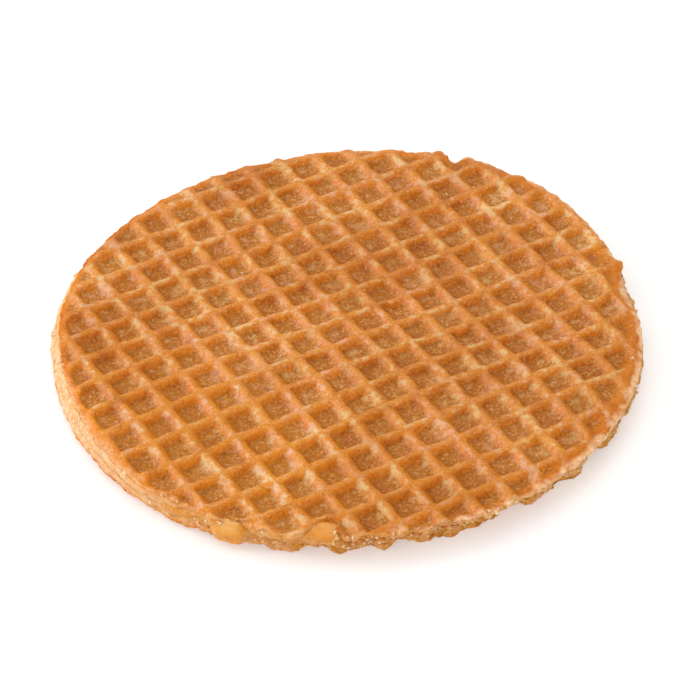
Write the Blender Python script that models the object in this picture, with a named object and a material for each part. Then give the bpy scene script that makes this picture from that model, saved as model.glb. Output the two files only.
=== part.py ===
"""Stroopwafel: two thin pressed waffle halves with a layer of caramel syrup between them.

The biscuit lies flat on the ridges of its lower half. +Z is up, and the origin is on the surface that it
lies on, under the middle of the whole. Lengths are in metres.
"""

import math
from collections import namedtuple

import bmesh
import bpy
from mathutils import Matrix, Vector

MM = 0.001

# The waffle iron's grid
PITCH = 5.4 * MM  # from the middle of one ridge to the next
RIDGE_WIDTH = 1.3 * MM  # flat top of a ridge
WALL_RUN = 0.5 * MM  # how far a pit's wall leans in on its way down
PIT_DEPTH = 1.1 * MM
PLAIN_MARGIN = 0.3 * PITCH  # a cell whose middle is nearer the rim than this stays unpressed
GRID_CELLS = 20  # cells along one side of the grid before the round is stamped out of it

# The layers, from the table up
WAFER_THICKNESS = 2.0 * MM  # one half, over its ridges
SYRUP_THICKNESS = 0.8 * MM
CLEARANCE = 0.3 * MM  # between a half and the syrup
SYRUP_BOTTOM = WAFER_THICKNESS + CLEARANCE
TOTAL_HEIGHT = 2 * WAFER_THICKNESS + SYRUP_THICKNESS + 2 * CLEARANCE

# The two halves, which were not put together quite in line. An outline has a mean radius and waves of
# (number round the rim, height, direction of a crest in degrees). The grid lies turned, and shifted by so
# many pitches from the outline's centre to a ridge crossing.
Half = namedtuple("Half", "centre waves grid_turn grid_shift")
TOP = Half(
    centre=(0.7 * MM, 0.2 * MM),
    waves=((2, 1.1 * MM, 80), (3, 0.3 * MM, 48), (4, 0.5 * MM, 61), (6, 0.2 * MM, -7)),
    grid_turn=math.radians(29.3),
    grid_shift=(0.06, -0.51),
)
BOTTOM = Half(
    centre=(-0.4 * MM, 1.2 * MM),
    waves=((2, 0.2 * MM, 66), (3, 0.5 * MM, 11), (4, 0.3 * MM, -25)),
    grid_turn=math.radians(33.0),
    grid_shift=(0.30, 0.15),
)
MEAN_RADIUS = 44.4 * MM
RIM_STEPS = 60  # straight cuts round one rim
SLIVER = 0.09 * MM  # corners nearer than this are made one

# The syrup: a flat layer that stops short of the rims, and the drops that were squeezed out of it.
# A drop is (direction, distance from the origin, height of its middle, half width, half depth, half height).
SYRUP_STEPS = 96
SYRUP_INSET = 0.6 * MM
SYRUP_EDGE_ROUNDING = 0.3 * MM
DROPS = (
    (-96, 43.2 * MM, 3.2 * MM, 3.5 * MM, 2.6 * MM, 1.9 * MM),
    (-110.5, 43.9 * MM, 2.7 * MM, 3.3 * MM, 1.9 * MM, 2.2 * MM),
)
DROP_SEGMENTS = 20  # round a drop; half as many from pole to pole


def rim_radius(half, angle):
    """Distance from a half's centre to its rim, in the direction of angle."""
    radius = MEAN_RADIUS
    for count, height, crest in half.waves:
        radius += height * math.cos(count * (angle - math.radians(crest)))
    return radius


def rim_point(half, angle):
    return Vector((math.cos(angle), math.sin(angle), 0)) * rim_radius(half, angle)


def new_object(name, bm, material, place):
    mesh = bpy.data.meshes.new(name)
    bm.to_mesh(mesh)
    bm.free()
    mesh.materials.append(material)
    piece = bpy.data.objects.new(name, mesh)
    piece.location = place
    bpy.context.scene.collection.objects.link(piece)
    return piece


def new_material(name, colour, roughness):
    material = bpy.data.materials.new(name)
    material.use_nodes = True
    shader = material.node_tree.nodes["Principled BSDF"]
    shader.inputs["Base Color"].default_value = (*colour, 1)
    shader.inputs["Roughness"].default_value = roughness
    shader.inputs["Metallic"].default_value = 0
    return material


def press_grid(bm, half):
    """The iron's grid on a flat sheet at z = 0: ridges stay up there and the pits between them go down."""
    bmesh.ops.create_grid(bm, x_segments=GRID_CELLS, y_segments=GRID_CELLS, size=GRID_CELLS * PITCH / 2)
    slide = Matrix.Translation((*half.grid_shift, 0))
    slide.translation *= PITCH
    bmesh.ops.transform(bm, matrix=Matrix.Rotation(half.grid_turn, 4, "Z") @ slide, verts=bm.verts)

    def is_pressed(cell):
        middle = cell.calc_center_median()
        return middle.length < rim_radius(half, math.atan2(middle.y, middle.x)) - PLAIN_MARGIN

    pits = [cell for cell in bm.faces if is_pressed(cell)]
    bmesh.ops.inset_individual(bm, faces=pits, thickness=RIDGE_WIDTH / 2, use_even_offset=True)
    bmesh.ops.inset_individual(bm, faces=pits, thickness=WALL_RUN, depth=-PIT_DEPTH, use_even_offset=True)


def stamp_out(bm, half):
    """Cuts the sheet to the rim's outline, one straight cut after another."""
    for step in range(RIM_STEPS):
        start = rim_point(half, math.tau * step / RIM_STEPS)
        along = rim_point(half, math.tau * (step + 1) / RIM_STEPS) - start
        everything = bm.verts[:] + bm.edges[:] + bm.faces[:]
        outward = Vector((along.y, -along.x, 0)).normalized()
        bmesh.ops.bisect_plane(bm, geom=everything, plane_co=start, plane_no=outward, clear_outer=True)
    bmesh.ops.remove_doubles(bm, verts=bm.verts, dist=SLIVER)


def add_thickness(bm):
    """Takes the rim straight down from the pressed sheet and closes the flat inner side."""
    rim = [edge for edge in bm.edges if edge.is_boundary]
    extruded = bmesh.ops.extrude_edge_only(bm, edges=rim)["geom"]
    lower_rim = [item for item in extruded if isinstance(item, bmesh.types.BMEdge)]
    for vert in {vert for edge in lower_rim for vert in edge.verts}:
        vert.co.z = -WAFER_THICKNESS
    bmesh.ops.contextual_create(bm, geom=[edge for edge in lower_rim if edge.is_boundary])


def make_wafer(name, half, height, material):
    """A half, whose pressed face is at z = 0 of its own frame. The one that lies on the table faces down."""
    bm = bmesh.new()
    press_grid(bm, half)
    stamp_out(bm, half)
    add_thickness(bm)
    if height == 0:
        bmesh.ops.scale(bm, vec=(1, 1, -1), verts=bm.verts)
    bmesh.ops.triangulate(bm, faces=bm.faces)
    bmesh.ops.recalc_face_normals(bm, faces=bm.faces)
    return new_object(name, bm, material, (*half.centre, height))


def inner_rim(angle):
    """How far out the inner one of the two rims is from the origin, in the direction of angle."""
    reach = math.inf
    for half in (TOP, BOTTOM):
        offset = half.centre[0] * math.cos(angle) + half.centre[1] * math.sin(angle)
        reach = min(reach, offset + rim_radius(half, angle))
    return reach


def make_drop(name, drop, grown, material):
    """One rounded drop of syrup. Grown, it is the hollow that the halves leave for it."""
    direction, distance, height, *half_sizes = drop
    bm = bmesh.new()
    bmesh.ops.create_uvsphere(bm, u_segments=DROP_SEGMENTS, v_segments=DROP_SEGMENTS // 2, radius=1)
    across, deep, tall = (half_size + grown for half_size in half_sizes)
    bmesh.ops.scale(bm, vec=(deep, across, tall), verts=bm.verts)
    angle = math.radians(direction)
    bmesh.ops.rotate(bm, cent=(0, 0, 0), matrix=Matrix.Rotation(angle, 3, "Z"), verts=bm.verts)
    return new_object(name, bm, material, (math.cos(angle) * distance, math.sin(angle) * distance, height))


def join_or_cut(piece, tool, operation):
    """A live Boolean on piece. The tool is only a guide from here on."""
    boolean = piece.modifiers.new(tool.name, "BOOLEAN")
    boolean.operation = operation
    boolean.solver = "EXACT"
    boolean.object = tool
    tool.hide_render = True
    tool.display_type = "WIRE"


def make_syrup(material):
    """The flat layer: a disc whose edge follows the inner rim, extruded ring by ring and closed below."""
    bm = bmesh.new()
    bmesh.ops.create_circle(bm, cap_ends=True, segments=SYRUP_STEPS, radius=1)
    half = SYRUP_THICKNESS / 2
    rounding = SYRUP_EDGE_ROUNDING
    profile = ((rounding, half), (0, half - rounding), (0, rounding - half), (rounding, -half))
    loop, edges = bm.verts[:], bm.edges[:]
    for step, (inset, height) in enumerate(profile):
        if step:
            made = bmesh.ops.extrude_edge_only(bm, edges=edges)["geom"]
            edges = [item for item in made if isinstance(item, bmesh.types.BMEdge)]
            loop = [item for item in made if isinstance(item, bmesh.types.BMVert)]
        for vert in loop:
            angle = math.atan2(vert.co.y, vert.co.x)
            out = inner_rim(angle) - SYRUP_INSET - inset
            vert.co = (math.cos(angle) * out, math.sin(angle) * out, height)
    bmesh.ops.contextual_create(bm, geom=[edge for edge in edges if edge.is_boundary])
    bmesh.ops.recalc_face_normals(bm, faces=bm.faces)
    return new_object("syrup", bm, material, (0, 0, SYRUP_BOTTOM + half))


def main():
    for leftover in list(bpy.data.objects):
        bpy.data.objects.remove(leftover)
    crust = new_material("baked_wafer", (0.62, 0.29, 0.09), 0.6)
    caramel = new_material("caramel_syrup", (0.55, 0.23, 0.04), 0.25)
    wafer_top = make_wafer("wafer_top", TOP, TOTAL_HEIGHT, crust)
    wafer_bottom = make_wafer("wafer_bottom", BOTTOM, 0, crust)
    syrup = make_syrup(caramel)
    for number, drop in enumerate(DROPS):
        join_or_cut(syrup, make_drop(f"drop_{number}", drop, 0, caramel), "UNION")
        hollow = make_drop(f"hollow_{number}", drop, CLEARANCE, caramel)
        join_or_cut(wafer_top, hollow, "DIFFERENCE")
        join_or_cut(wafer_bottom, hollow, "DIFFERENCE")


main()
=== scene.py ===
# %% [markdown]
# # A stroopwafel
#
# A stroopwafel is two thin halves of one crisp waffle, glued together with caramel syrup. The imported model
# gives the plain solids at their real size: an upper half, a layer of syrup and a lower half. This script
# loads them as a fixed frame and makes, around it, what the eye sees: the pressed grid with its worn ridges,
# the pale crumb of the cut rim, and the syrup that was squeezed out of it.

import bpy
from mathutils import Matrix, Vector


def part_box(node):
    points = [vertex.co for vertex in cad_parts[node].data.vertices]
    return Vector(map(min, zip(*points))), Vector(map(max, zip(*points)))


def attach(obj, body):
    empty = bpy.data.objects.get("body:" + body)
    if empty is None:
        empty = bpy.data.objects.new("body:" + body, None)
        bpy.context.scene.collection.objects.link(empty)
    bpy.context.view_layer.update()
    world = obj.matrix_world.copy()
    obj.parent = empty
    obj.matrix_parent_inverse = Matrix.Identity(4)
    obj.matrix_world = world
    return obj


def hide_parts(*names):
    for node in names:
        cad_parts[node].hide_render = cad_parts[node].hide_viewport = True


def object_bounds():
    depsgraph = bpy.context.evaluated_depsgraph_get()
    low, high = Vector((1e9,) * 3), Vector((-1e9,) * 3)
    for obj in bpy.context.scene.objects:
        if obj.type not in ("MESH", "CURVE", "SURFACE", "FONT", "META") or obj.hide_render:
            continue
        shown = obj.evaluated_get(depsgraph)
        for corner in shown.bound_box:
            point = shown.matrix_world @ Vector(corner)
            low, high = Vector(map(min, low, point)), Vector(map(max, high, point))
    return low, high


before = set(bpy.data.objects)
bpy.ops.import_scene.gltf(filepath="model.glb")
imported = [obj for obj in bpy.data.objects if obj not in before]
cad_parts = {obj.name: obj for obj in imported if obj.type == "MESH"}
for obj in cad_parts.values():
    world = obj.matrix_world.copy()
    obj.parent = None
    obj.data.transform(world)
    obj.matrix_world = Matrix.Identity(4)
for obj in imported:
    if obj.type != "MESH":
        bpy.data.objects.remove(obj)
cad_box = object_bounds()
print("the solids span", [round(high - low, 4) for low, high in zip(*cad_box)], "m")

# %% [markdown]
# ## Tools for the whole lesson
#
# Blender's lengths are metres here, and a biscuit is easier to think about in millimetres, so every length
# is a number times MM. Colours are picked as sRGB hex values, the way a paint program shows them, but
# Blender's shaders calculate with linear light, so one function converts them. Another adds a node to a
# material and connects it, so that each line of a material reads as one step. Blender's noise vectors follow
# the clock unless they are given a seed, so the seed comes first and every run bakes the same biscuit.

# %% Units, colours and nodes
import math
import random
from collections import namedtuple

import bmesh
import bpy
from mathutils import Matrix, Vector, noise
from mathutils.bvhtree import BVHTree

MM = 0.001
noise.seed_set(5)


def linear(hex_colour):
    """An sRGB hex colour as the linear RGBA that Blender calculates with."""
    channels = [int(hex_colour[start : start + 2], 16) / 255 for start in (1, 3, 5)]
    return (*(c / 12.92 if c <= 0.04045 else ((c + 0.055) / 1.055) ** 2.4 for c in channels), 1)


def add(nodes, kind, inputs, stops=(), **settings):
    """Adds a node and connects it.

    Inputs are values or other nodes' outputs. Stops are the places and colours of a colour ramp.
    """
    node = nodes.new("ShaderNode" + kind)
    for name, value in settings.items():
        setattr(node, name, value)
    for name, value in inputs.items():
        if isinstance(value, bpy.types.NodeSocket):
            nodes.id_data.links.new(value, node.inputs[name])
        else:
            node.inputs[name].default_value = value
    for number, (place, colour) in enumerate(stops):
        elements = node.color_ramp.elements
        stop = elements[number] if number < len(elements) else elements.new(place)
        stop.position = place
        stop.color = linear(colour)
    return node


print("a millimetre is", MM, "m, and #808080 is", round(linear("#808080")[0], 3), "in linear light")

# %% [markdown]
# ## Camera
#
# A long lens from about forty degrees up suits food that lies flat: it keeps the round outline from bulging.
# The camera looks at a point near the middle of the biscuit's top, and is rolled a touch about its own line
# of sight.

# %% Set up the camera
CAMERA_TARGET = Vector((0.44 * MM, -5.95 * MM, cad_box[1].z))
CAMERA_ELEVATION = math.radians(39.7)
CAMERA_ROLL = math.radians(1.3)
CAMERA_DISTANCE = 433.2 * MM
CAMERA_LENS = 151.5  # a camera's lens and sensor are given in millimetres, not in metres
CAMERA_SENSOR = 36

camera = bpy.data.objects.new("camera", bpy.data.cameras.new("camera"))
camera.data.lens = CAMERA_LENS
camera.data.sensor_width = CAMERA_SENSOR
away = Vector((0, -math.cos(CAMERA_ELEVATION), math.sin(CAMERA_ELEVATION)))
camera.location = CAMERA_TARGET + away * CAMERA_DISTANCE
upright = away.to_track_quat("Z", "Y").to_matrix()
camera.rotation_euler = (upright @ Matrix.Rotation(-CAMERA_ROLL, 3, "Z")).to_euler()
bpy.context.scene.collection.objects.link(camera)
bpy.context.scene.camera = camera
print("camera stands", [round(c, 3) for c in camera.location], "m from the middle of the base")

# %% [markdown]
# ## Table and light
#
# The table is a sheet of white acrylic with a weak light under it, which keeps the biscuit's shadow faint and
# brightens its rim from below. Five large soft lights do the rest. The one overhead lights the table and the
# ridges' tops, the low one at the left puts a sheen on the pit walls that face left, and the one in front
# keeps the walls that face the camera a warm orange. A weak one lifts the shade at the right. The one at the
# back reaches the near part of each pit's floor, where it makes small bumps glint. A room that is dimmer than
# the lights keeps the tops from looking dusty, because a flat top mirrors the room behind it.

# %% Make the table, the surround and the lights
TABLE_HALF_WIDTH = 1.5  # metres, so that its edge stays out of sight
ROOM_BRIGHTNESS = 0.4

table_finish = bpy.data.materials.new("lit white acrylic table")
table_finish.use_nodes = True
table_shader = table_finish.node_tree.nodes["Principled BSDF"]
table_shader.inputs["Base Color"].default_value = linear("#d2d1d0")
table_shader.inputs["Roughness"].default_value = 0.9
table_shader.inputs["Emission Color"].default_value = linear("#fffdfb")
table_shader.inputs["Emission Strength"].default_value = 0.4

bm = bmesh.new()
bmesh.ops.create_grid(bm, x_segments=1, y_segments=1, size=TABLE_HALF_WIDTH)
table_mesh = bpy.data.meshes.new("table")
bm.to_mesh(table_mesh)
bm.free()
table = bpy.data.objects.new("table", table_mesh)
table_mesh.materials.append(table_finish)
bpy.context.scene.collection.objects.link(table)

world = bpy.data.worlds.new("pale studio")
world.use_nodes = True
world.node_tree.nodes["Background"].inputs["Color"].default_value = linear("#ffffff")
world.node_tree.nodes["Background"].inputs["Strength"].default_value = ROOM_BRIGHTNESS
bpy.context.scene.world = world
bpy.context.scene.view_settings.view_transform = "Standard"


def soft_light(name, direction, elevation, distance, size, power):
    """A square lamp that looks at the biscuit. Direction is in degrees round from +X."""
    lamp = bpy.data.lights.new(name, "AREA")
    lamp.size = size
    lamp.energy = power
    light = bpy.data.objects.new(name, lamp)
    turn = math.radians(direction)
    rise = math.radians(elevation)
    flat = Vector((math.cos(turn), math.sin(turn), 0))
    towards = flat * math.cos(rise) + Vector((0, 0, math.sin(rise)))
    light.location = towards * distance
    light.rotation_euler = towards.to_track_quat("Z", "Y").to_euler()
    bpy.context.scene.collection.objects.link(light)


soft_light("overhead light", direction=180, elevation=82, distance=1.0, size=1.2, power=4.8)
soft_light("left light", direction=166, elevation=26, distance=0.8, size=0.6, power=3.1)
soft_light("front light", direction=-117, elevation=23, distance=1.0, size=0.8, power=2.9)
soft_light("right light", direction=-25, elevation=28, distance=1.0, size=0.8, power=1.2)
soft_light("back light", direction=70, elevation=48, distance=1.0, size=0.6, power=1.9)
print("lights:", [lamp.name for lamp in bpy.data.lights])

# %% [markdown]
# ## The two halves
#
# Both halves come out of the same iron, but they were glued together a little off centre and with the grid
# turned. Each round has an outline that is nearly a circle: a mean radius with a few slow waves. These are
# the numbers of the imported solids, so the fine pieces lie where the solids do. The ridges have narrower tops
# and longer walls than the solids' plain ones, because dough never fills an iron's corners, and the outlines
# get chips, which the solids leave out.

# %% Measures of the waffle
PITCH = 5.4 * MM  # from one ridge to the next
RIDGE_WIDTH = 1.0 * MM
WALL_RUN = 0.7 * MM  # how far a pit's wall leans in
PIT_DEPTH = 1.1 * MM
GRID_CELLS = 20
MEAN_RADIUS = 44.4 * MM
GLUE_LINE = cad_box[1].z / 2  # height of the middle of the syrup
SEAM = 0.15 * MM  # the cut rims stop this far from the glue line
SEAM_SET_BACK = 0.4 * MM  # and curve in by this much where the syrup shows

# A half's outline has waves of (number round the rim, height, direction of a crest in degrees) and chips of
# (direction in degrees, half width in degrees, how far it stands out, how much of it reaches the seam).
Half = namedtuple("Half", "name centre waves chips grid_turn grid_shift face_height fineness seed")
TOP = Half(
    name="wafer_top",
    centre=Vector((0.7 * MM, 0.2 * MM, 0)),
    waves=((2, 1.1 * MM, 80), (3, 0.3 * MM, 48), (4, 0.5 * MM, 61), (6, 0.2 * MM, -7)),
    chips=(
        (18.5, 2.6, 1.0 * MM, 0.6),
        (9, 9, -1.1 * MM, 0.2),
        (71.5, 1.5, 1.1 * MM, 0.1),
        (68, 2, -1.5 * MM, 0.4),
        (65.5, 1.8, 0.6 * MM, 0.3),
        (-96, 4.8, -1.9 * MM, 1),
        (-111.2, 4.8, -1.1 * MM, 1),
        (-124, 9, -0.6 * MM, 0.5),
    ),
    grid_turn=math.radians(29.3),
    grid_shift=(0.06, -0.51),
    face_height=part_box("wafer_top")[1].z,
    fineness=11,
    seed=3.7,
)
BOTTOM = Half(
    name="wafer_bottom",
    centre=Vector((-0.4 * MM, 1.2 * MM, 0)),
    waves=((2, 0.2 * MM, 66), (3, 0.5 * MM, 11), (4, 0.3 * MM, -25)),
    chips=(
        (-96, 5, -0.6 * MM, 1),
        (-110.5, 4, -0.5 * MM, 1),
        (152, 6, -0.5 * MM, 0.5),
        (-83.5, 3, 0.4 * MM, 0.3),
        (-80.6, 2, -0.6 * MM, 0.3),
        (-71, 3, 0.4 * MM, 0.3),
        (-65, 3.5, 0.3 * MM, 0.3),
        (-59, 2.5, -0.4 * MM, 0.3),
        (-52.5, 4, 0.7 * MM, 0.3),
        (-46.7, 2.5, -0.6 * MM, 0.3),
        (-42.5, 3, 0.5 * MM, 0.3),
        (-37, 3, -0.7 * MM, 0.3),
        (-31, 3.5, 0.4 * MM, 0.3),
        (-24.6, 3.5, -0.5 * MM, 0.3),
    ),
    grid_turn=math.radians(33.0),
    grid_shift=(0.30, 0.15),
    face_height=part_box("wafer_bottom")[0].z,
    fineness=9,
    seed=41.3,
)
print("the solids' faces are at", [round(half.face_height / MM, 2) for half in (TOP, BOTTOM)], "mm")

# %% [markdown]
# ## Finding a place on the rim
#
# A place on a round biscuit is easiest to find by its direction, so the outline is a radius for each
# direction: 0 degrees is the right, 90 the back, 180 the left and -90 the front. The chips are bumps and
# dents that fade out on both sides. Where something changes along the rim, such as how far crumb covers the
# syrup, its share is worked out from the direction too, with a soft start and end, so that nothing on the
# rim begins with a step.

# %% Outline, chips and seam


def rim_radius(half, angle):
    """Distance from a half's centre to its rim."""
    waves = (height * math.cos(count * (angle - math.radians(crest))) for count, height, crest in half.waves)
    return MEAN_RADIUS + sum(waves)


def polar(place):
    """Direction and distance from the centre."""
    return math.atan2(place.y, place.x), math.hypot(place.x, place.y)


def ease(value):
    """From 0 to 1 with a soft start and end."""
    value = min(1, max(0, value))
    return value * value * (3 - 2 * value)


def facing(angle, direction):
    """1 in a direction that is given in degrees, 0 a quarter turn away from it, -1 opposite it."""
    return math.cos(angle - math.radians(direction))


def off_middle(angle, direction, half_width):
    """How far an angle is from a direction in degrees, as a part of a half width in degrees."""
    return math.remainder(angle - math.radians(direction), math.tau) / math.radians(half_width)


def chipped(half, angle, down):
    """How far the chips move the rim out, from the crust (down is 0) to the seam (down is 1)."""
    shift = 0
    for direction, half_width, height, reaches in half.chips:
        off = off_middle(angle, direction, half_width)
        shift += height * max(0, 1 - off * off) ** 2 * (1 - down * (1 - reaches))
    return shift


def reach(half, angle):
    """Distance from the frame's own axis to a half's rim."""
    return rim_radius(half, angle) + half.centre.x * math.cos(angle) + half.centre.y * math.sin(angle)


def closed(angle):
    """How well crumb covers the syrup: 1 at the left front, 0 where the syrup shows."""
    return ease(2.2 * facing(angle, 215) - 1.05)


def seam_reach(angle):
    """Distance from the frame's axis to the line where the two cut rims meet."""
    both = (reach(TOP, angle) + reach(BOTTOM, angle)) / 2
    chips = (chipped(TOP, angle, 1) + chipped(BOTTOM, angle, 1)) / 2
    return both + chips - SEAM_SET_BACK * (1 - closed(angle))


print("the halves are about", round(2 * MEAN_RADIUS / MM, 1), "mm wide, with a ridge every", PITCH / MM, "mm")

# %% [markdown]
# ## Pressing the grid
#
# An iron presses a square pit into each cell of the grid and leaves ridges between them. Here a flat grid
# has one face for each cell. The first inset leaves the ridge's flat top, and the second goes down and makes
# the slanted wall and the floor. Cutting the short slanted edges and then all the long edges gives an even
# net of small squares, which the baked unevenness needs later. Smoothing then rounds all edges slightly,
# as dough does when it leaves the iron. Each vertex also gets numbers that the material reads later, such as
# how deep it is in a pit, and how much pale colour it gets, a dry film and painted sheen, most on the walls
# that face left.

# %% Press the pits
WALL_CUTS = 3
SMOOTHINGS = 6


def is_slanted(edge):
    """Whether an edge of the grid runs from a cell's corner towards its middle."""
    across = edge.verts[0].co - edge.verts[1].co
    return abs(abs(across.x) - abs(across.y)) < 0.1 * abs(across.x)


def goes_down(edge):
    """Whether an edge of the grid runs from a ridge down to a pit's floor."""
    return abs(edge.verts[0].co.z - edge.verts[1].co.z) > PIT_DEPTH / 2


def press_grid(half):
    """A flat sheet about the origin with the grid pressed into it, the ridges' tops at z = 0."""
    bm = bmesh.new()
    depth = bm.verts.layers.float.new("depth")
    bm.verts.layers.float.new("crust")
    bm.verts.layers.float.new("soaked")
    bm.verts.layers.float.new("baked")
    dry = bm.verts.layers.float.new("dry")
    bmesh.ops.create_grid(bm, x_segments=GRID_CELLS, y_segments=GRID_CELLS, size=GRID_CELLS * PITCH / 2)
    slide = Matrix.Translation((*half.grid_shift, 0))
    slide.translation *= PITCH
    bmesh.ops.transform(bm, matrix=slide, verts=bm.verts)
    outside = [cell for cell in bm.faces if cell.calc_center_median().length > MEAN_RADIUS + PITCH]
    bmesh.ops.delete(bm, geom=outside, context="FACES")
    cells = bm.faces[:]
    bmesh.ops.inset_individual(bm, faces=cells, thickness=RIDGE_WIDTH / 2, use_even_offset=True)
    bmesh.ops.inset_individual(bm, faces=cells, thickness=WALL_RUN, depth=-PIT_DEPTH, use_even_offset=True)
    slanted = [edge for edge in bm.edges if is_slanted(edge)]
    walls = [edge for edge in slanted if goes_down(edge)]
    ridges = [edge for edge in slanted if not goes_down(edge)]
    bmesh.ops.subdivide_edges(bm, edges=walls, cuts=WALL_CUTS, use_grid_fill=True)
    bmesh.ops.subdivide_edges(bm, edges=ridges, cuts=1, use_grid_fill=True)
    long_edges = [edge for edge in bm.edges if not is_slanted(edge)]
    bmesh.ops.subdivide_edges(bm, edges=long_edges, cuts=half.fineness, use_grid_fill=True)
    for _ in range(SMOOTHINGS):
        bmesh.ops.smooth_vert(
            bm, verts=bm.verts, factor=0.5, use_axis_x=True, use_axis_y=True, use_axis_z=True
        )
    bm.normal_update()
    for vert in bm.verts:
        vert[depth] = min(1, max(0, -vert.co.z / PIT_DEPTH))
        # dry holds a pale film's share and painted sheen, most on the walls that face left (-x before the grid
        # is turned)
        vert[dry] = min(1, max(0, 0.25 - 1.3 * vert.normal.x + 0.35 * vert.normal.y))
    bmesh.ops.rotate(bm, cent=(0, 0, 0), matrix=Matrix.Rotation(half.grid_turn, 3, "Z"), verts=bm.verts)
    print(half.name, "is pressed from", len(cells), "cells")
    return bm


# %% [markdown]
# ## Stamping out the round
#
# The baker stamps a round out of the waffle, straight through ridges and pits. A plane that bisects the
# mesh and clears what lies beyond it does the same, one short straight cut after another.

# %% Stamp the outline
STAMP_STEPS = 90
SLIVER = 0.09 * MM  # corners nearer than this are made one


def stamp_out(bm, half):
    """Cuts the sheet to the outline of its half."""
    for step in range(STAMP_STEPS):
        angles = [math.tau * (step + side) / STAMP_STEPS for side in (0, 1)]
        start, end = (Vector((math.cos(a), math.sin(a), 0)) * rim_radius(half, a) for a in angles)
        outward = Vector((end.y - start.y, start.x - end.x, 0)).normalized()
        middle = (start + end) / 2
        near = [face for face in bm.faces if (face.verts[0].co - middle).dot(outward) > -PITCH / 2]
        # a dict keeps its order where a set doesn't, so every run cuts alike
        parts = dict.fromkeys(part for face in near for part in (*face.verts, *face.edges, face))
        bmesh.ops.bisect_plane(bm, geom=list(parts), plane_co=middle, plane_no=outward, clear_outer=True)
    rim = [vert for vert in bm.verts if vert.is_boundary]
    bmesh.ops.remove_doubles(bm, verts=rim, dist=SLIVER)
    print(half.name, "is stamped out with", len(bm.faces), "faces left")


# %% [markdown]
# ## Baked unevenness
#
# No two pits are alike. The dough shrinks a little unevenly, ridges dip where they were thin, floors are
# lumpy with tiny blisters, and near the stamped rim everything was squeezed down. Each of these is one layer
# of noise with its own size in millimetres, so that it can be turned up or down by itself. On the upper half
# the grid's rows also drift a little, as if the dough had crept when the iron was opened.

# %% Relief of the pressed face
# The upper half's grid strays from a true one in two bands across it: (how far, where in y, half width).
WANDER = ((-0.95 * MM, 12 * MM, 15 * MM), (0.6 * MM, -13 * MM, 9 * MM))
TILT = 0.022  # and across the middle its rows run down to the right by this slope
TILT_WIDTH = 11 * MM
CHIP_REACH = 5 * MM  # how far in from the rim a chip moves the crust
STILL_RIM = 6 * MM  # nearer to the rim than this, slow shifts fade out, so that its outline stays
PALE_RIM = 1.4 * MM  # how far in from the rim the crust is paler and rounded down
HOT_SPOT = Vector((8 * MM, 17 * MM, 0))  # the iron was hottest here
HOT_SPOT_SIZE = 14 * MM


def wave(place, size, seed):
    """Smooth noise, mostly between -0.5 and 0.5, whose lumps are about size wide."""
    return noise.noise(place / size + Vector((seed, seed * 1.7, seed * 0.3)))


def wander(place):
    """The slow drift of the upper half's grid, strongest along the middle."""
    bands = (shift * math.exp(-(((place.y - middle) / width) ** 2)) for shift, middle, width in WANDER)
    tilted = TILT * place.x * math.exp(-((place.y / TILT_WIDTH) ** 2))
    return (sum(bands) - tilted) * (1 - (place.x / MEAN_RADIUS) ** 2)


middle_row = [Vector((x * MM, 0, 0)) for x in (-30, 0, 30)]
print("the middle row drifts by", [round(wander(place) / MM, 2) for place in middle_row], "mm")

# %% [markdown]
# ## What the stamp does to the edge
#
# The stamp presses the dough down before it cuts, more in some places than in others. Squeezed crust is
# smoother, and it rounds over to the cut. Where it cracked there, the paler dough under it shows through.

# %% Squeezed and paler near the rim


def squeeze(half, angle, inwards):
    """How far the stamp squeezed the dough down at a place near the rim, from 0 to 1."""
    left = max(0, facing(angle, 200))
    if half is TOP:
        strength = 0.66 + 0.29 * max(left, facing(angle, -40))
    else:
        strength = 0.9 * ease(1.4 * left)
    front = ease(3 * facing(angle, -92) - 2)
    right = ease(1.5 * facing(angle, 20) - 0.2)
    width = (1.8 + 0.9 * right - 0.6 * left) * MM
    return strength * (1 - 0.5 * front) * ease(1.25 - inwards / width)


def pale_edge(half, angle):
    """How far the upper crust pales at the rim: most at the right, some at the back and left front."""
    right = ease(2.2 * facing(angle, -35) - 0.9)
    back = 0.5 * ease(2.0 * facing(angle, 60) - 0.8)
    left_front = 0.6 * ease(3.0 * facing(angle, -128) - 1.8)
    return max(right, back, left_front) if half is TOP else 0


print("at the left rim the stamp squeezes by", round(squeeze(TOP, math.pi, 0), 2), "of the height")

# %% [markdown]
# ## Bake
#
# One pass over the vertices adds all layers. Their sizes go from 13 mm, which bends whole rows, down to
# 0.6 mm, which makes blisters. Ridges sink with noise of their own, and pits get shallower or deeper.

# %% Move every vertex a little


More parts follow.
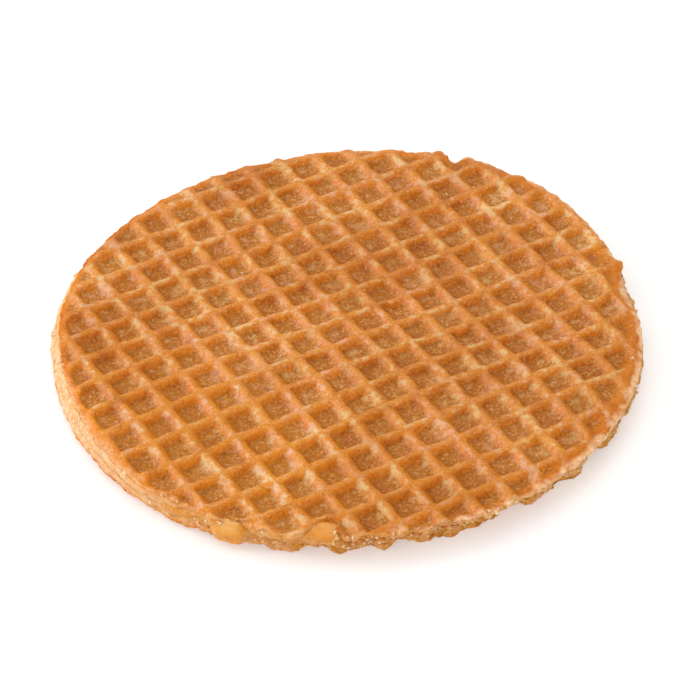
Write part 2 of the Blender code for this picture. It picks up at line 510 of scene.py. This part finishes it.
def bake_unevenly(bm, half):
    """Moves every vertex of the pressed face a little."""
    depth = bm.verts.layers.float["depth"]
    crust = bm.verts.layers.float["crust"]
    dry = bm.verts.layers.float["dry"]
    baked = bm.verts.layers.float["baked"]
    for vert in bm.verts:
        place = vert.co.copy()
        low = vert[depth]
        vert[baked] = math.exp(-((place - HOT_SPOT).length_squared) / HOT_SPOT_SIZE**2)
        angle, distance = polar(place)
        inwards = rim_radius(half, angle) - distance
        inner = ease(inwards / STILL_RIM)
        warp = noise.noise_vector(place / (13 * MM) + Vector((half.seed, 0, 0))) * 0.3 * MM
        edge_play = noise.noise_vector(place / (2.0 * MM) + Vector((0, half.seed, 0))) * 0.28 * MM
        grit = noise.noise_vector(place / (0.8 * MM) + Vector((0, 0, half.seed))) * 0.13 * MM
        drift = wander(place) if half is TOP else 0
        vert.co.x += warp.x * inner + edge_play.x + grit.x
        vert.co.y += (warp.y + drift) * inner + edge_play.y + grit.y
        shallower = 0.25 * wave(place, 7 * MM, half.seed) + 0.2 * wave(place, 3 * MM, half.seed + 2)
        height = vert.co.z * (1 - max(-0.05, shallower))
        height -= 0.3 * MM * max(0, wave(place, 4 * MM, half.seed + 4)) * (1 - low)
        height += 0.16 * MM * wave(place, 1.6 * MM, half.seed + 6) * low
        height += 0.16 * MM * wave(place, 0.6 * MM, half.seed + 8) * (0.35 + 0.65 * low)
        height -= 0.03 * MM
        squeezed = squeeze(half, angle, inwards)
        shoulder = (0.5 + 0.5 * ease(1 - inwards / PALE_RIM)) * MM
        vert.co.z = height * (1 - squeezed) - shoulder * squeezed
        vert[depth] = max(low * (1 - 0.6 * squeezed), 0.3 * squeezed)
        # less pale film and painted sheen where the stamp squeezed and towards the left front
        buttery = ease((-place.y - 0.6 * place.x) / (22 * MM) - 0.55)  # less dry film at the left front
        vert[dry] -= 0.6 * squeezed + 0.3 * buttery * inner * (1 - vert[dry])
        vert.co.xy *= 1 + chipped(half, angle, 0) * ease(1 - inwards / CHIP_REACH) / max(distance, PITCH)
        pale = 0.1 + 0.55 * pale_edge(half, angle) * (1 + 1.2 * wave(place, 1.4 * MM, half.seed + 10))
        vert[crust] = 1 - pale * ease(1.1 - inwards / PALE_RIM)
    print(half.name, "is baked, with", len(bm.verts), "vertices moved")


# %% [markdown]
# ## The cut rim
#
# The rim shows the inside of the waffle: pale, open crumb under a thin brown crust, soaked with syrup at the
# front and along the seam. The rim's edge is pulled down in steps with an extrusion for each, and every
# step's vertices move in or out with the noise of pores and crumbs. The last steps turn inwards, and one
# flat face closes the glued side. The edge between them is marked sharp, so that smooth shading doesn't draw
# a dark line along the seam where both halves meet.

# %% Pull the rim down
RIM_RINGS = 12
SKIN = 0.12  # the first ring, just under the crust, is this part of the way down
TURN_IN = (0.5 * MM, 3 * MM)  # how far the last two rings go in on the glued side


def crumble(place):
    """How far the crumb at a place on the rim stands out from the stamped outline."""
    pores = noise.voronoi(place / (0.9 * MM))[0][0]
    front = ease(2.6 * facing(math.atan2(place.y, place.x), -75) - 1.2)
    return (0.7 + 1.1 * front) * (
        0.25 * MM * wave(place, 5 * MM, 3)
        + 0.25 * MM * wave(place, 1.9 * MM, 6)
        + 0.2 * MM * wave(place, 0.8 * MM, 9)
        - 0.3 * MM * max(0, 0.42 - pores)
    )


def soak(half, angle, down, place):
    """How much syrup a place of the cut rim took up, from 0 to 1."""
    near_seam = ease((down - 0.4) * 3) * 0.9 * (1 - 0.9 * closed(angle))
    front = ease(8 * facing(angle, -96) - 6.6) * 0.65
    if half is BOTTOM:
        front = max(front, ease(1.6 * facing(angle, -50)))
    amount = max(near_seam, front) * (1 + wave(place, 2 * MM, half.seed + 12))
    return min(1, max(0, amount))


def toasted(angle):
    """How brown the cut crumb is: pale at the left, browner towards the front."""
    return ease((facing(angle, -100) - 0.35) * 2)


rim_front = Vector((0, -MEAN_RADIUS, 0))
print("at the front, crumb stands out by", round(crumble(rim_front) / MM, 2), "mm")

# %% [markdown]
# ## Ring by ring
#
# An extrusion of edges hands back the new edges together with those that lead to them, so they are sorted
# first. The crumb's noise is read at the place where a vertex ends up in the frame, and not at its place in
# the flat sheet, so that the crumb of both halves is one pattern that runs on across the seam.

# %% Extrude the rim


def new_ring(made):
    """The edges of the ring that an extrusion made, without those that lead to it, and its vertices."""
    verts = [part for part in made["geom"] if isinstance(part, bmesh.types.BMVert)]
    fresh = set(verts)
    edges = [part for part in made["geom"] if isinstance(part, bmesh.types.BMEdge)]
    return [edge for edge in edges if fresh.issuperset(edge.verts)], verts


def place_in_frame(half, place):
    """Where a place of the sheet ends up in the frame. The lower half is turned over."""
    side = 1 if half is TOP else -1
    return Vector((place.x, place.y, side * place.z)) + half.centre + Vector((0, 0, half.face_height))


def pull_down_rim(bm, half):
    """Extrudes the rim down to the seam, ring by ring, and closes the glued side."""
    crust = bm.verts.layers.float["crust"]
    depth = bm.verts.layers.float["depth"]
    soaked = bm.verts.layers.float["soaked"]
    edges = [edge for edge in bm.edges if edge.is_boundary]
    start = list(dict.fromkeys(vert for edge in edges for vert in edge.verts))
    for vert in start:
        where = place_in_frame(half, vert.co)
        vert.co += Vector((vert.co.x, vert.co.y, 0)).normalized() * crumble(where)
        vert[crust] *= 0.6
        vert[soaked] = soak(half, polar(vert.co)[0], 0, vert.co)
    for ring in range(1, RIM_RINGS + 1):
        edges, loop = new_ring(bmesh.ops.extrude_edge_only(bm, edges=edges))
        down = ring / RIM_RINGS
        step = SKIN if ring == 1 else 1 / (RIM_RINGS - ring + 1)
        for vert in loop:
            vert[depth] = 0
            angle, distance = polar(vert.co)
            vert[crust] = max(0.42 * toasted(angle), 0.9 * closed(angle) * (1 - 1.8 * down))
            seam = SEAM * (1 - closed(angle)) - abs(half.face_height - GLUE_LINE)
            vert.co.z += (seam - vert.co.z) * step
            cut_edge = rim_radius(half, angle) + chipped(half, angle, down)
            seam_edge = seam_reach(angle) - reach(half, angle) + rim_radius(half, angle)
            stands = cut_edge + (seam_edge - cut_edge) * ease(1.25 * down - 0.25)
            vert.co.xy *= stands / distance
            vert.co.xy *= (stands + crumble(place_in_frame(half, vert.co))) / stands
            vert[soaked] = soak(half, angle, down, vert.co)
    for edge in edges:
        edge.smooth = False
    for inset in TURN_IN:
        edges, loop = new_ring(bmesh.ops.extrude_edge_only(bm, edges=edges))
        for vert in loop:
            vert.co.xy *= 1 - inset / vert.co.xy.length
    bmesh.ops.contextual_create(bm, geom=edges)
    print(half.name, "has a rim of", len(start), "vertices round and", RIM_RINGS, "rings down")


# %% [markdown]
# ## Material of the waffle
#
# Waffle dough is flour, butter, sugar and egg. Where it touched the hot iron it browned: the ridges stay
# light, the walls glow orange, as painted glow and as light that passes through the thin dough, and the
# floors, pressed hardest, turn brown. A dry, floury film is left in patches, least where butter soaked
# through at the left front, and the walls that face left get the same pale colour as painted sheen from
# the light at the left. Small specks come from flour and sugar, and the crust is a little browner where
# the iron was hottest. The cut rim is pale crumb, or brown where it took up syrup.
#
# Five numbers on each vertex say where it is: depth in a pit, crust rather than cut crumb, dry film and
# painted sheen (dry), heat of the iron (baked) and syrup in the crumb (soaked). Browned sugar and butter
# leave a soft sheen, so the roughness is middling, with a dielectric's usual IOR. Flour and sugar grains
# are finer than the 0.4 mm that the specks are drawn at, but wouldn't show if they were smaller.

# %% Patterns in the waffle's material
waffle_finish = bpy.data.materials.new("baked waffle dough")
waffle_finish.use_nodes = True
dough = waffle_finish.node_tree.nodes
links = waffle_finish.node_tree.links
where = add(dough, "TexCoord", {}).outputs["Object"]
depth = add(dough, "Attribute", {}, attribute_name="depth").outputs["Fac"]
crust = add(dough, "Attribute", {}, attribute_name="crust").outputs["Fac"]
patches = add(dough, "TexNoise", {"Vector": where, "Scale": 1 / (2.9 * MM), "Detail": 3}).outputs["Fac"]
mottle = add(dough, "TexNoise", {"Vector": where, "Scale": 1 / (1.1 * MM), "Detail": 2}).outputs["Fac"]
specks = add(dough, "TexNoise", {"Vector": where, "Scale": 1 / (0.38 * MM), "Detail": 2}).outputs["Fac"]
drift = add(dough, "TexNoise", {"Vector": where, "Scale": 1 / (6 * MM), "Detail": 1}).outputs["Fac"]
slow = add(dough, "TexNoise", {"Vector": where, "Scale": 1 / (14 * MM), "Detail": 1}).outputs["Fac"]
print("patterns and attributes:", len(dough), "nodes")

# %% [markdown]
# ### Browning
#
# The iron's bumps pressed the floors hardest, so brown goes by depth. A colour ramp holds the tones from the
# ridges' tops to the floors, and the mottle shifts the line where one goes over into the next. Thin patches
# of the dough got darker.

# %% Browned crust
shifted = add(dough, "Math", {0: mottle, 1: 0.5, 2: depth}, operation="MULTIPLY_ADD")
toned = add(dough, "Math", {0: shifted.outputs[0], 1: 0.25}, operation="SUBTRACT")
# the walls' stops are a more saturated orange than the ridges' tops: painted glow of light through the thin
# dough, besides the subsurface scattering
browned = add(
    dough,
    "ValToRGB",
    {"Fac": toned.outputs[0]},
    stops=((0.0, "#d98822"), (0.3, "#dd8212"), (0.55, "#da800c"), (0.95, "#b46e0e")),
)
thin = add(dough, "MapRange", {"Value": patches, "From Min": 0.45, "From Max": 0.32, "To Max": 0.5})
patched = add(
    dough,
    "Mix",
    {"Factor": thin.outputs[0], "A": browned.outputs["Color"], "B": linear("#ac5a12")},
    data_type="RGBA",
)
print("with the browning:", len(dough), "nodes")

# %% [markdown]
# ### Dry film and painted sheen
#
# Flour dries on the crust as a pale film in patches. The walls that face left get the same pale colour as
# painted sheen from the light at the left, and both are stronger on the ridges' tops than in the pits. The
# film could be a shell of its own, but mixing its colour in costs nothing and can't stand off the crust.

# %% Floury film and painted sheen
blotches = add(dough, "Math", {0: patches, 1: mottle}, operation="ADD")
film = add(
    dough,
    "MapRange",
    {"Value": blotches.outputs[0], "From Min": 1.01, "From Max": 1.2, "To Max": 0.75},
)
# dry: the pale film's share, with painted sheen on the walls that face left
dry = add(dough, "Attribute", {}, attribute_name="dry").outputs["Fac"]
clear = add(dough, "MapRange", {"Value": dry, "From Max": 0.25, "To Min": 0.25})
spread = add(dough, "Math", {0: film.outputs[0], 1: clear.outputs[0]}, operation="MULTIPLY")
film_and_left_sheen = add(dough, "Math", {0: dry, 1: mottle}, operation="MULTIPLY")
pale_film_and_sheen = add(
    dough, "Math", {0: film_and_left_sheen.outputs[0], 1: 0.68, 2: spread.outputs[0]}, operation="MULTIPLY_ADD"
)
# film and painted sheen are both stronger on the ridges' tops than in the pits
outer = add(dough, "MapRange", {"Value": depth, "To Min": 1.15, "To Max": 0.5})
pale = add(dough, "Math", {0: pale_film_and_sheen.outputs[0], 1: outer.outputs[0]}, operation="MULTIPLY")
# one pale pinkish cream for the film and the painted sheen alike
flour = add(
    dough,
    "ValToRGB",
    {"Fac": drift},
    stops=((0.38, "#dfaa8c"), (0.48, "#e2b28c"), (0.6, "#e4c08a")),
)
crust_with_film_and_sheen = add(
    dough,
    "Mix",
    {"Factor": pale.outputs[0], "A": patched.outputs["Result"], "B": flour.outputs["Color"]},
    data_type="RGBA",
)
print("with the film:", len(dough), "nodes")

# %% [markdown]
# ### Specks
#
# One fine noise gives both kinds of specks: its highest parts are light grains of flour and sugar, which the
# stamp pressed in where it squeezed, and its lowest parts are burnt sugar, mostly down in the pits.

# %% Light and dark specks
grainy = add(dough, "MapRange", {"Value": dry, "From Min": -0.4, "From Max": 0.1, "To Min": 0.25})
light_specks = add(
    dough,
    "MapRange",
    {"Value": specks, "From Min": 0.54, "From Max": 0.72, "To Max": 0.72},
)
light = add(dough, "Math", {0: light_specks.outputs[0], 1: grainy.outputs[0]}, operation="MULTIPLY")
with_light = add(
    dough,
    "Mix",
    {"Factor": light.outputs[0], "A": crust_with_film_and_sheen.outputs["Result"], "B": linear("#eab47a")},
    data_type="RGBA",
)
dark_specks = add(
    dough,
    "MapRange",
    {"Value": specks, "From Min": 0.46, "From Max": 0.28, "To Max": 0.68},
)
in_pits = add(dough, "MapRange", {"Value": depth, "To Min": 0.45})
dark = add(dough, "Math", {0: dark_specks.outputs[0], 1: in_pits.outputs[0]}, operation="MULTIPLY")
with_dark = add(
    dough,
    "Mix",
    {"Factor": dark.outputs[0], "A": with_light.outputs["Result"], "B": linear("#9a5414")},
    data_type="RGBA",
)
print("with the specks:", len(dough), "nodes")

# %% [markdown]
# ### Heat
#
# An iron isn't equally hot all over. A slow tone is multiplied over all of the crust, so that it browns the
# light parts and the dark parts alike, and it is strongest round the hot spot.

# %% Heat of the iron
baked = add(dough, "Attribute", {}, attribute_name="baked").outputs["Fac"]
heat = add(dough, "Math", {0: baked, 1: 0.2, 2: slow}, operation="MULTIPLY_ADD")
tone = add(
    dough,
    "ValToRGB",
    {"Fac": heat.outputs[0]},
    stops=((0.3, "#ffffff"), (0.5, "#f6efe0"), (0.7, "#ecdfc4")),
)
crust_colour = add(
    dough,
    "Mix",
    {"Factor": 1.0, "A": with_dark.outputs["Result"], "B": tone.outputs["Color"]},
    data_type="RGBA",
    blend_type="MULTIPLY",
)
print("with the heat:", len(dough), "nodes")

# %% [markdown]
# ### Crumb
#
# Where the waffle was cut, the pale inside shows, grainy with pores. Syrup that soaked in turns it to amber,
# with the same grain.

# %% Cut crumb, dry or soaked
crumb_grain = add(dough, "Mix", {"Factor": 0.45, "A": mottle, "B": specks}, data_type="FLOAT")
crumb_colour = add(
    dough,
    "ValToRGB",
    {"Fac": crumb_grain.outputs[0]},
    stops=((0.28, "#d8955a"), (0.42, "#e7ac76"), (0.56, "#f0c496"), (0.7, "#f8dcbc")),
)
syrupy = add(
    dough,
    "ValToRGB",
    {"Fac": crumb_grain.outputs[0]},
    stops=((0.36, "#8e5818"), (0.44, "#c08230"), (0.55, "#da9e46"), (0.66, "#eab866")),
)
soaked = add(dough, "Attribute", {}, attribute_name="soaked").outputs["Fac"]
soaked_crumb = add(
    dough,
    "Mix",
    {"Factor": soaked, "A": crumb_colour.outputs["Color"], "B": syrupy.outputs["Color"]},
    data_type="RGBA",
)
print("with the crumb:", len(dough), "nodes")

# %% [markdown]
# ### Crust or crumb
#
# The last mix chooses between both, and the mottle makes the line between them uneven. Crumb scatters light
# in all directions, so it is rougher than the crust. The grain is also a fine bump, too small to be worth
# vertices. Light goes a little way into dough, red the deepest, which gives the walls their glow.

# %% Put the waffle's material together
edge = add(dough, "Math", {0: mottle, 1: 0.6, 2: crust}, operation="MULTIPLY_ADD")
is_crust = add(dough, "MapRange", {"Value": edge.outputs[0], "From Min": 0.55, "From Max": 1.05})
colour = add(
    dough,
    "Mix",
    {
        "Factor": is_crust.outputs[0],
        "A": soaked_crumb.outputs["Result"],
        "B": crust_colour.outputs["Result"],
    },
    data_type="RGBA",
)
rough = add(dough, "MapRange", {"Value": is_crust.outputs[0], "To Min": 0.85, "To Max": 0.42})
grain = add(dough, "Math", {0: specks, 1: mottle}, operation="ADD")
bump = add(dough, "Bump", {"Height": grain.outputs[0], "Strength": 0.9, "Distance": 0.18 * MM})
shader = dough["Principled BSDF"]
links.new(colour.outputs["Result"], shader.inputs["Base Color"])
links.new(rough.outputs[0], shader.inputs["Roughness"])
links.new(bump.outputs["Normal"], shader.inputs["Normal"])
shader.inputs["Specular IOR Level"].default_value = 0.2
shader.inputs["Subsurface Weight"].default_value = 0.25
shader.inputs["Subsurface Radius"].default_value = (1.0, 0.4, 0.15)
shader.inputs["Subsurface Scale"].default_value = 1.5 * MM
print("the waffle's material has", len(dough), "nodes")

# %% [markdown]
# ## Making a piece
#
# Every finished mesh becomes an object at the origin, shaded smooth, that rides on the root body and wears
# the finish made for it. The solid that it stands for, if any, is hidden. Both halves go through the
# same steps, and the lower one is turned over at the end.

# %% Make the halves


def make_piece(name, bm, finish, node):
    """An object from a finished mesh, which stands for a node of the frame."""
    mesh = bpy.data.meshes.new(name)
    bmesh.ops.recalc_face_normals(bm, faces=bm.faces)
    bm.to_mesh(mesh)
    bm.free()
    mesh.shade_smooth()
    mesh.materials.append(finish)
    piece = bpy.data.objects.new(name, mesh)
    bpy.context.scene.collection.objects.link(piece)
    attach(piece, "root")
    if node:
        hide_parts(node)
    mesh.calc_loop_triangles()
    print(name, "has", len(mesh.loop_triangles), "triangles")
    return piece


def make_half(half):
    """One half, from the pressed sheet to the finished piece."""
    bm = press_grid(half)
    stamp_out(bm, half)
    bake_unevenly(bm, half)
    pull_down_rim(bm, half)
    if half is BOTTOM:
        bmesh.ops.scale(bm, vec=(1, 1, -1), verts=bm.verts)
    bmesh.ops.translate(bm, vec=half.centre + Vector((0, 0, half.face_height)), verts=bm.verts)
    bmesh.ops.triangulate(bm, faces=[face for face in bm.faces if len(face.verts) > 4])
    return make_piece(half.name + "_baked", bm, waffle_finish, half.name)


upper = make_half(TOP)
lower = make_half(BOTTOM)

# %% [markdown]
# ## Syrup
#
# Syrup fills the seam and stands out of it a little, more at the front, where two drops were pressed out.
# All of it is one surface. A ring of vertices is extruded through the cross-section step by step: from
# inside the biscuit under the glue line, out round the bead and back in above it. The size of the
# cross-section changes along the rim, so a drop is simply a place where the bead is very high. A number on
# each vertex, pale, says how clear of crumbs and how thick the syrup is there, and it is also set higher
# on the bead's top and lower on its underside, as painted light and painted shade.

# %% Squeeze out the syrup
SYRUP_STEPS = 960  # round the rim
SYRUP_PROFILE = 16  # round the bead's cross-section
SYRUP_INSIDE = 7 * MM  # how far the hidden layer goes in from the rim before it is closed flat

# Places along the rim where more syrup came out: direction and half width in degrees, how high its top and
# its underside are above the table, how far it stands out past the upper half, how deep it reaches in, and
# how pale it is.
Ooze = namedtuple("Ooze", "direction half_width top underside out depth pale")
OOZES = (
    Ooze(-103.5, 9, 3.3 * MM, 1.6 * MM, -0.9 * MM, 1.6 * MM, 0.5),
    Ooze(-84, 14, 3.1 * MM, 1.7 * MM, -1.0 * MM, 1.6 * MM, 0.5),
    Ooze(-122, 10, 3.9 * MM, 1.7 * MM, -0.3 * MM, 1.8 * MM, 0.75),
    Ooze(-106.5, 5, 3.6 * MM, 1.3 * MM, -0.3 * MM, 1.8 * MM, 0.4),
    Ooze(-112.2, 3.7, 3.9 * MM, 0.6 * MM, 0.8 * MM, 1.9 * MM, 0.85),
    Ooze(-112.5, 3.1, 4.5 * MM, 0.8 * MM, 0.6 * MM, 1.1 * MM, 1.0),
    Ooze(-90.5, 5, 4.0 * MM, 1.4 * MM, -0.2 * MM, 2.0 * MM, 0.4),
    Ooze(-96.0, 5.0, 4.9 * MM, 2.2 * MM, 0.0 * MM, 2.7 * MM, 0.7),
)


def syrup_section(angle):
    """The bead at a direction: top, underside, distance of its outer and inner side, and how pale it is."""
    place = Vector((math.cos(angle), math.sin(angle), 0)) * MEAN_RADIUS
    thick = (0.28 + 0.2 * wave(place, 3 * MM, 5)) * MM
    outer = seam_reach(angle) + (0.1 - 1.3 * closed(angle) + 0.4 * wave(place, 2.4 * MM, 9)) * MM
    section = [GLUE_LINE + thick, GLUE_LINE - thick, outer, outer - 1.5 * MM, 0]
    for ooze in OOZES:
        off = off_middle(angle, ooze.direction, ooze.half_width)
        share = max(0, 1 - off * off) ** 0.8
        outer = reach(TOP, angle) + ooze.out + 0.3 * MM * wave(place, 2.4 * MM, 9)
        target = (ooze.top, ooze.underside, outer, outer - ooze.depth, ooze.pale)
        section = [(1 - share) * now + share * aim for now, aim in zip(section, target)]
    return section


def make_syrup_mesh():
    """The syrup as one closed surface. The first and the last step are the hidden layer's inner edges."""
    bm = bmesh.new()
    pale = bm.verts.layers.float.new("pale")
    bmesh.ops.create_circle(bm, segments=SYRUP_STEPS, radius=MEAN_RADIUS)
    edges = bm.edges[:]
    loop = bm.verts[:]
    for step in range(-1, SYRUP_PROFILE + 2):
        if step >= 0:
            edges, loop = new_ring(bmesh.ops.extrude_edge_only(bm, edges=edges))
        turn = math.pi * (step / SYRUP_PROFILE - 0.5)
        for vert in loop:
            angle, _ = polar(vert.co)
            top, underside, outer, inner, paleness = syrup_section(angle)
            distance = inner + (outer - inner) * max(0, math.cos(turn)) ** 0.8
            height = (top + underside) / 2 + (top - underside) / 2 * math.sin(turn)
            if step in (-1, SYRUP_PROFILE + 1):
                distance = MEAN_RADIUS - SYRUP_INSIDE
                height = GLUE_LINE + math.copysign(0.2 * MM, turn)
            before = Vector((vert.co.x, vert.co.y, height))
            lumps = 0.3 * MM * wave(before, 1.3 * MM, 17) + 0.5 * MM * wave(before, 2.6 * MM, 23)
            distance += lumps * math.cos(turn)
            vert.co = Vector((math.cos(angle) * distance, math.sin(angle) * distance, height))
            # paler towards the bead's top and darker on its underside: painted light and painted shade
            vert[pale] = paleness * (0.6 + 0.4 * ease(0.25 + 0.9 * math.sin(turn)))
    bmesh.ops.contextual_create(bm, geom=edges)
    first = [edge for edge in bm.edges if edge.is_boundary]
    bmesh.ops.contextual_create(bm, geom=first)
    bmesh.ops.triangulate(bm, faces=[face for face in bm.faces if len(face.verts) > 4])
    return bm


print("most syrup comes out at", [round(ooze.direction) for ooze in OOZES], "degrees")

# %% [markdown]
# ## Material of the syrup
#
# Set caramel syrup is glossy and slightly cloudy, and light goes a little way into it, which is what
# subsurface scattering is for. Thin smears look dark, because the crumb under them shows, and the thick drops
# are a pale amber. Fine crumbs stick to the smears as a dull dust, but hardly any to the clean drops. The
# IOR of thick syrup is close to 1.5, which is what the shader starts with.

# %% Make the syrup


def make_syrup_finish():
    """Set caramel syrup: glossy, amber where it is thick, dusted with crumbs where it is thin."""
    material = bpy.data.materials.new("set caramel syrup")
    material.use_nodes = True
    nodes, links = material.node_tree.nodes, material.node_tree.links
    where = add(nodes, "TexCoord", {}).outputs["Object"]
    pale = add(nodes, "Attribute", {}, attribute_name="pale").outputs["Fac"]
    cloud = add(nodes, "TexNoise", {"Vector": where, "Scale": 1 / (1.6 * MM), "Detail": 3}).outputs["Fac"]
    dust = add(nodes, "TexNoise", {"Vector": where, "Scale": 1 / (0.6 * MM), "Detail": 3}).outputs["Fac"]
    # pale also carries painted light and shade: lighter on the bead's top, darker on its underside
    mixed = add(nodes, "Math", {0: cloud, 1: 0.5, 2: pale}, operation="MULTIPLY_ADD")
    toned = add(nodes, "Math", {0: mixed.outputs[0], 1: 0.67}, operation="MULTIPLY")
    colour = add(
        nodes,
        "ValToRGB",
        {"Fac": toned.outputs[0]},
        stops=((0.1, "#90540f"), (0.4, "#bf771a"), (0.65, "#e0921a"), (0.9, "#dfab5a")),
    )

    # a dust of fine crumbs, less of it on the drops
    fine = add(nodes, "MapRange", {"Value": dust, "From Min": 0.48, "From Max": 0.66, "To Max": 0.75})
    bare = add(
        nodes,
        "MapRange",
        {"Value": pale, "From Min": 0.25, "From Max": 0.65, "To Min": 1, "To Max": 0.15},
    )
    dusty = add(nodes, "Math", {0: fine.outputs[0], 1: bare.outputs[0]}, operation="MULTIPLY")
    crumbed = add(
        nodes,
        "Mix",
        {"Factor": dusty.outputs[0], "A": colour.outputs["Color"], "B": linear("#efc27c")},
        data_type="RGBA",
    )
    rough = add(
        nodes,
        "MapRange",
        {"Value": cloud, "From Min": 0.3, "From Max": 0.7, "To Min": 0.18, "To Max": 0.4},
    )
    relief = add(nodes, "Math", {0: dusty.outputs[0], 1: 0.6, 2: cloud}, operation="MULTIPLY_ADD")
    bump = add(nodes, "Bump", {"Height": relief.outputs[0], "Strength": 0.6, "Distance": 0.2 * MM})
    shader = nodes["Principled BSDF"]
    links.new(crumbed.outputs["Result"], shader.inputs["Base Color"])
    links.new(rough.outputs[0], shader.inputs["Roughness"])
    links.new(bump.outputs["Normal"], shader.inputs["Normal"])
    shader.inputs["Subsurface Weight"].default_value = 0.5
    shader.inputs["Subsurface Radius"].default_value = (1.0, 0.45, 0.12)
    shader.inputs["Subsurface Scale"].default_value = 1.2 * MM
    return material


syrup = make_piece("syrup_squeezed", make_syrup_mesh(), make_syrup_finish(), "syrup")

# %% [markdown]
# ## Crumbs
#
# Stamping leaves crumbs on the cut rim, and a few fall on the top. Each is a small sphere made of few
# faces, dented by noise. A ray sent towards the biscuit finds the surface, and the crumb is set half into it.
# Right of the drops, where the rim tore a little, there are more of them.

# %% Shape a crumb
RIM_CRUMBS = 420
TOP_CRUMBS = 30
TORN_CRUMBS = 110
TORN_RIM = (math.radians(-93), math.radians(-58))  # from one direction to the other
RIM_HEIGHTS = (0.7, 4.5)  # in millimetres above the table
TORN_HEIGHTS = (2.4, 4.4)
OUTSIDE = 60  # rays start this far from the middle, in millimetres
ABOVE = 20 * MM


def surface_of(pieces):
    """A search tree over the faces of several pieces."""
    places, faces = [], []
    for piece in pieces:
        start = len(places)
        places += [vert.co.copy() for vert in piece.data.vertices]
        faces += [[start + index for index in face.vertices] for face in piece.data.polygons]
    return BVHTree.FromPolygons(places, faces)


def add_crumb(bm, place, size, chance):
    """A dented lump about size across."""
    ball = bmesh.ops.create_icosphere(bm, subdivisions=2, radius=size / 2)["verts"]
    stretch = [chance.uniform(0.7, 1.3) for _ in range(3)]
    turn = Matrix.Rotation(chance.uniform(0, math.tau), 3, Vector([chance.uniform(-1, 1) for _ in range(3)]))
    for vert in ball:
        dent = 1 + 1.2 * noise.noise(vert.co / (size * 0.4) + place / MM * 3)
        vert.co = turn @ Vector([part * factor for part, factor in zip(vert.co * dent, stretch)]) + place


print("up to", RIM_CRUMBS + TOP_CRUMBS + TORN_CRUMBS, "crumbs are scattered")

# %% [markdown]
# ## Scattering
#
# Every crumb draws its own numbers: direction, size, height and shape. One whose ray misses the biscuit is
# left out, and so is one that would stand higher than the ridges. Crumbs are dry dough from inside the
# wafer, from cream to golden brown, so their finish is rougher than that of the buttery crust.

# %% Scatter the crumbs


def scatter_crumbs():
    """All crumbs in one mesh: round the rim, on the top, and where the rim is torn."""
    surface = surface_of((upper, lower, syrup))
    bm = bmesh.new()
    for number in range(RIM_CRUMBS + TOP_CRUMBS + TORN_CRUMBS):
        chance = random.Random(number)  # its own draws, so that a crumb left out doesn't move others
        torn = number >= RIM_CRUMBS + TOP_CRUMBS
        angle = chance.uniform(*TORN_RIM) if torn else chance.uniform(0, math.tau)
        flat = Vector((math.cos(angle), math.sin(angle), 0))
        size = MM * (0.2 + 0.45 * chance.random() ** 3)
        if torn:
            start = flat * OUTSIDE * MM + Vector((0, 0, chance.uniform(*TORN_HEIGHTS) * MM))
            hit, _, _, _ = surface.ray_cast(start, -flat)
        elif number < RIM_CRUMBS:
            start = flat * OUTSIDE * MM + Vector((0, 0, chance.uniform(*RIM_HEIGHTS) * MM))
            hit, _, _, _ = surface.ray_cast(start, -flat)
        else:
            start = flat * MEAN_RADIUS * math.sqrt(chance.random()) + Vector((0, 0, ABOVE))
            hit, _, _, _ = surface.ray_cast(start, Vector((0, 0, -1)))
        if hit and hit.z + size < cad_box[1].z:
            add_crumb(bm, hit, size, chance)
    return bm


def make_crumb_finish():
    """Dry baked crumbs, from cream to golden brown."""
    material = bpy.data.materials.new("dry waffle crumbs")
    material.use_nodes = True
    nodes, links = material.node_tree.nodes, material.node_tree.links
    where = add(nodes, "TexCoord", {}).outputs["Object"]
    kind = add(nodes, "TexNoise", {"Vector": where, "Scale": 1 / (1.5 * MM), "Detail": 1}).outputs["Fac"]
    colour = add(
        nodes,
        "ValToRGB",
        {"Fac": kind},
        stops=((0.3, "#cf8a45"), (0.42, "#e3a867"), (0.55, "#efc795"), (0.7, "#f6dcbb")),
    )
    shader = nodes["Principled BSDF"]
    links.new(colour.outputs["Color"], shader.inputs["Base Color"])
    shader.inputs["Roughness"].default_value = 0.75
    return material


make_piece("crumbs", scatter_crumbs(), make_crumb_finish(), None)
